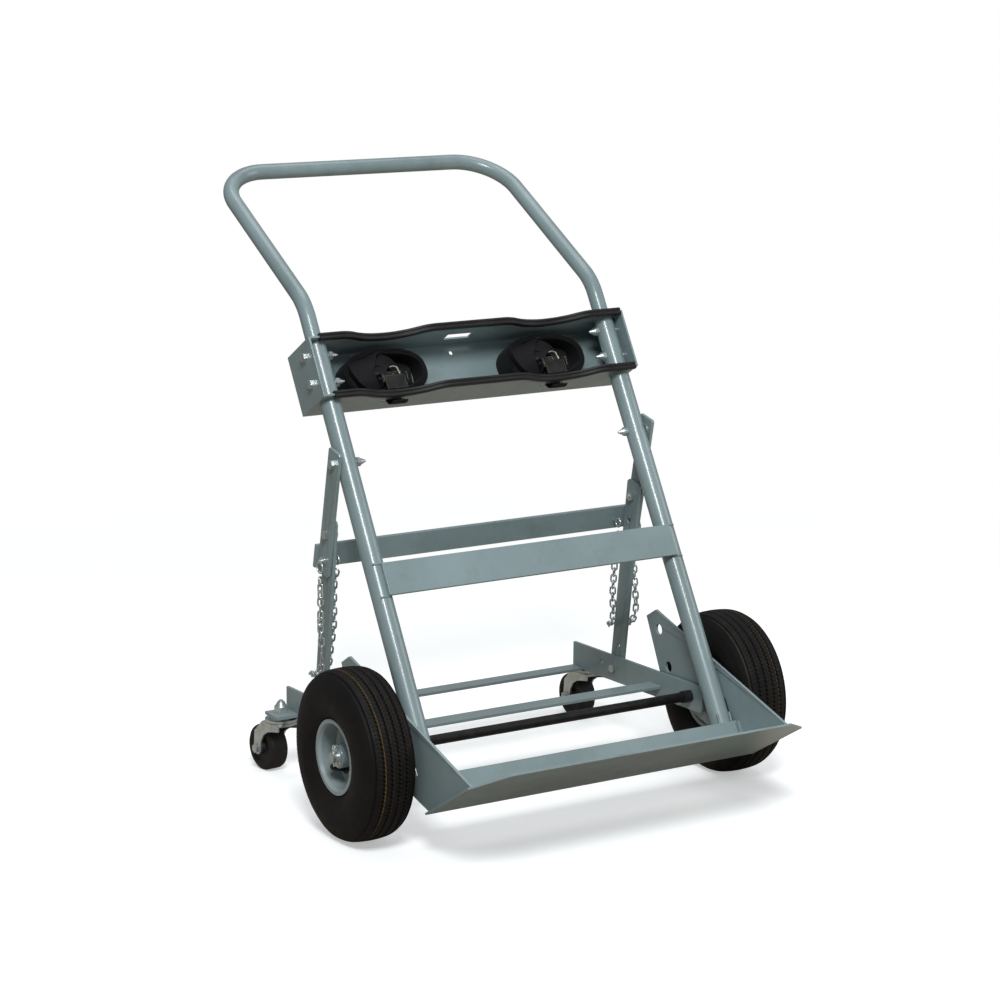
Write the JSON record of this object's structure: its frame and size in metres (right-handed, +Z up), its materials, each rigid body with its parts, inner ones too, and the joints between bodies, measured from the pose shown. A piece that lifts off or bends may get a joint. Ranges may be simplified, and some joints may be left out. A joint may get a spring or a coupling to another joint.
{
  "type": "gas cylinder hand truck",
  "caption": "Two-wheeled welding gas cylinder cart with a folding swivel-caster rear support, strap bracket, nose plate and bent tube handle",
  "frame": {"origin": "on the floor, in the middle of the cart's footprint box", "axes": "+Z up, +Y to the rear, towards the handle and the casters, +X to the right seen from the front (nose) side"},
  "size_m": [0.757, 0.9178, 0.9485],
  "materials": {
    "frame_paint": "satin blue-grey enamel over welded steel",
    "wheel_paint": "satin blue-grey enamel on pressed rims",
    "edge_rubber": "soft black edge trim",
    "webbing": "woven black webbing",
    "zinc": "bright zinc plate",
    "axle_black": "black oxide steel",
    "tyre_rubber": "moulded black rubber",
    "hub_steel": "zinc-plated steel hub",
    "valve_rubber": "black rubber with a capped end",
    "caster_rubber": "hard black rubber"
  },
  "bodies": {
    "frame": {"rail_left": "frame_paint", "rail_right": "frame_paint", "handle": "frame_paint", "front_crossbar": "frame_paint", "nose_plate": "frame_paint", "side_plate_left": "frame_paint", "side_plate_right": "frame_paint", "cylinder_bracket": "frame_paint", "bracket_trim_upper": "edge_rubber", "bracket_trim_lower": "edge_rubber", "strap_left": "webbing", "strap_right": "webbing", "buckle_frame_left": "zinc", "buckle_frame_right": "zinc", "bracket_bolts": "zinc", "link_pivot_bolts": "zinc", "axle": "axle_black", "axle_spacers": "axle_black", "axle_washers": "zinc", "cotter_pins": "zinc"},
    "buckle_lever_left": {"buckle_lever_left": "zinc"},
    "wheel_left": {"tyre_left": "tyre_rubber", "rim_outer_left": "wheel_paint", "rim_inner_left": "wheel_paint", "hub_left": "hub_steel", "valve_stem_left": "valve_rubber", "rim_bolts_left": "zinc"},
    "buckle_lever_right": {"buckle_lever_right": "zinc"},
    "wheel_right": {"tyre_right": "tyre_rubber", "rim_outer_right": "wheel_paint", "rim_inner_right": "wheel_paint", "hub_right": "hub_steel", "valve_stem_right": "valve_rubber", "rim_bolts_right": "zinc"},
    "caster_frame": {"arm_left": "frame_paint", "arm_right": "frame_paint", "rear_crossmember": "frame_paint", "mid_crossmember": "frame_paint", "caster_mount_plates": "frame_paint", "caster_kingpins": "zinc", "caster_top_races": "zinc", "arm_link_bolts": "zinc"},
    "caster_fork_left": {"caster_fork_left": "zinc", "caster_axle_left": "zinc"},
    "caster_wheel_left": {"caster_wheel_left": "caster_rubber"},
    "caster_fork_right": {"caster_fork_right": "zinc", "caster_axle_right": "zinc"},
    "caster_wheel_right": {"caster_wheel_right": "caster_rubber"},
    "upper_links": {"upper_link_left": "frame_paint", "upper_link_right": "frame_paint", "rear_crossbar": "frame_paint", "chain_anchors": "zinc", "knuckle_bolts": "zinc"},
    "lower_links": {"lower_link_left": "frame_paint", "lower_link_right": "frame_paint", "knuckle_nuts": "zinc"},
    "lock_pin_left": {"lock_pin_left": "zinc"},
    "chain_left": {"chain_left": "zinc"},
    "lock_pin_right": {"lock_pin_right": "zinc"},
    "chain_right": {"chain_right": "zinc"}
  },
  "joints": [
    {"name": "caster_frame_fold", "type": "hinge", "parent": "frame", "child": "caster_frame", "pos_m": [0, -0.15618, 0.13], "axis": [1, 0, 0], "range_deg": [0, 46]},
    {"name": "upper_links_fold", "type": "hinge", "parent": "frame", "child": "upper_links", "pos_m": [0, -0.00161, 0.53577], "axis": [1, 0, 0], "range_deg": [0, 94.2]},
    {"name": "lower_links_fold", "type": "hinge", "parent": "caster_frame", "child": "lower_links", "pos_m": [0, 0.06682, 0.122], "axis": [1, 0, 0], "range_deg": [-74.5, 0]},
    {"name": "chain_left_hang", "type": "hinge", "parent": "upper_links", "child": "chain_left", "pos_m": [-0.258, 0.0402, 0.37648], "axis": [1, 0, 0], "range_deg": [-94.2, 0]},
    {"name": "chain_right_hang", "type": "hinge", "parent": "upper_links", "child": "chain_right", "pos_m": [0.258, 0.0402, 0.37648], "axis": [1, 0, 0], "range_deg": [-94.2, 0]},
    {"name": "lock_pin_left_pull", "type": "slide", "parent": "upper_links", "child": "lock_pin_left", "axis": [-1, 0, 0], "range_m": [0, 0.035]},
    {"name": "lock_pin_right_pull", "type": "slide", "parent": "upper_links", "child": "lock_pin_right", "axis": [1, 0, 0], "range_m": [0, 0.035]},
    {"name": "wheel_left_spin", "type": "hinge", "parent": "frame", "child": "wheel_left", "pos_m": [-0.3335, -0.15618, 0.13], "axis": [1, 0, 0], "continuous": true},
    {"name": "wheel_right_spin", "type": "hinge", "parent": "frame", "child": "wheel_right", "pos_m": [0.3335, -0.15618, 0.13], "axis": [1, 0, 0], "continuous": true},
    {"name": "caster_left_swivel", "type": "hinge", "parent": "caster_frame", "child": "caster_fork_left", "pos_m": [-0.292, 0.17582, 0.089], "axis": [0, 0, 1], "continuous": true},
    {"name": "caster_right_swivel", "type": "hinge", "parent": "caster_frame", "child": "caster_fork_right", "pos_m": [0.292, 0.17582, 0.089], "axis": [0, 0, 1], "continuous": true},
    {"name": "caster_left_roll", "type": "hinge", "parent": "caster_fork_left", "child": "caster_wheel_left", "pos_m": [-0.29618, 0.2156, 0.0375], "axis": [0.9945, 0.1045, 0], "continuous": true},
    {"name": "caster_right_roll", "type": "hinge", "parent": "caster_fork_right", "child": "caster_wheel_right", "pos_m": [0.292, 0.21582, 0.0375], "axis": [1, 0, 0], "continuous": true},
    {"name": "buckle_left_lever", "type": "hinge", "parent": "frame", "child": "buckle_lever_left", "pos_m": [-0.143, 0.06606, 0.64678], "axis": [1, 0, 0], "range_deg": [-60, 0]},
    {"name": "buckle_right_lever", "type": "hinge", "parent": "frame", "child": "buckle_lever_right", "pos_m": [0.147, 0.06606, 0.64678], "axis": [1, 0, 0], "range_deg": [-60, 0]}
  ],
  "couplings": [
    {"joint": "upper_links_fold", "follows": "caster_frame_fold", "ratio": 2.0466},
    {"joint": "lower_links_fold", "follows": "caster_frame_fold", "ratio": -1.6193},
    {"joint": "chain_left_hang", "follows": "caster_frame_fold", "ratio": -2.0466},
    {"joint": "chain_right_hang", "follows": "caster_frame_fold", "ratio": -2.0466}
  ]
}
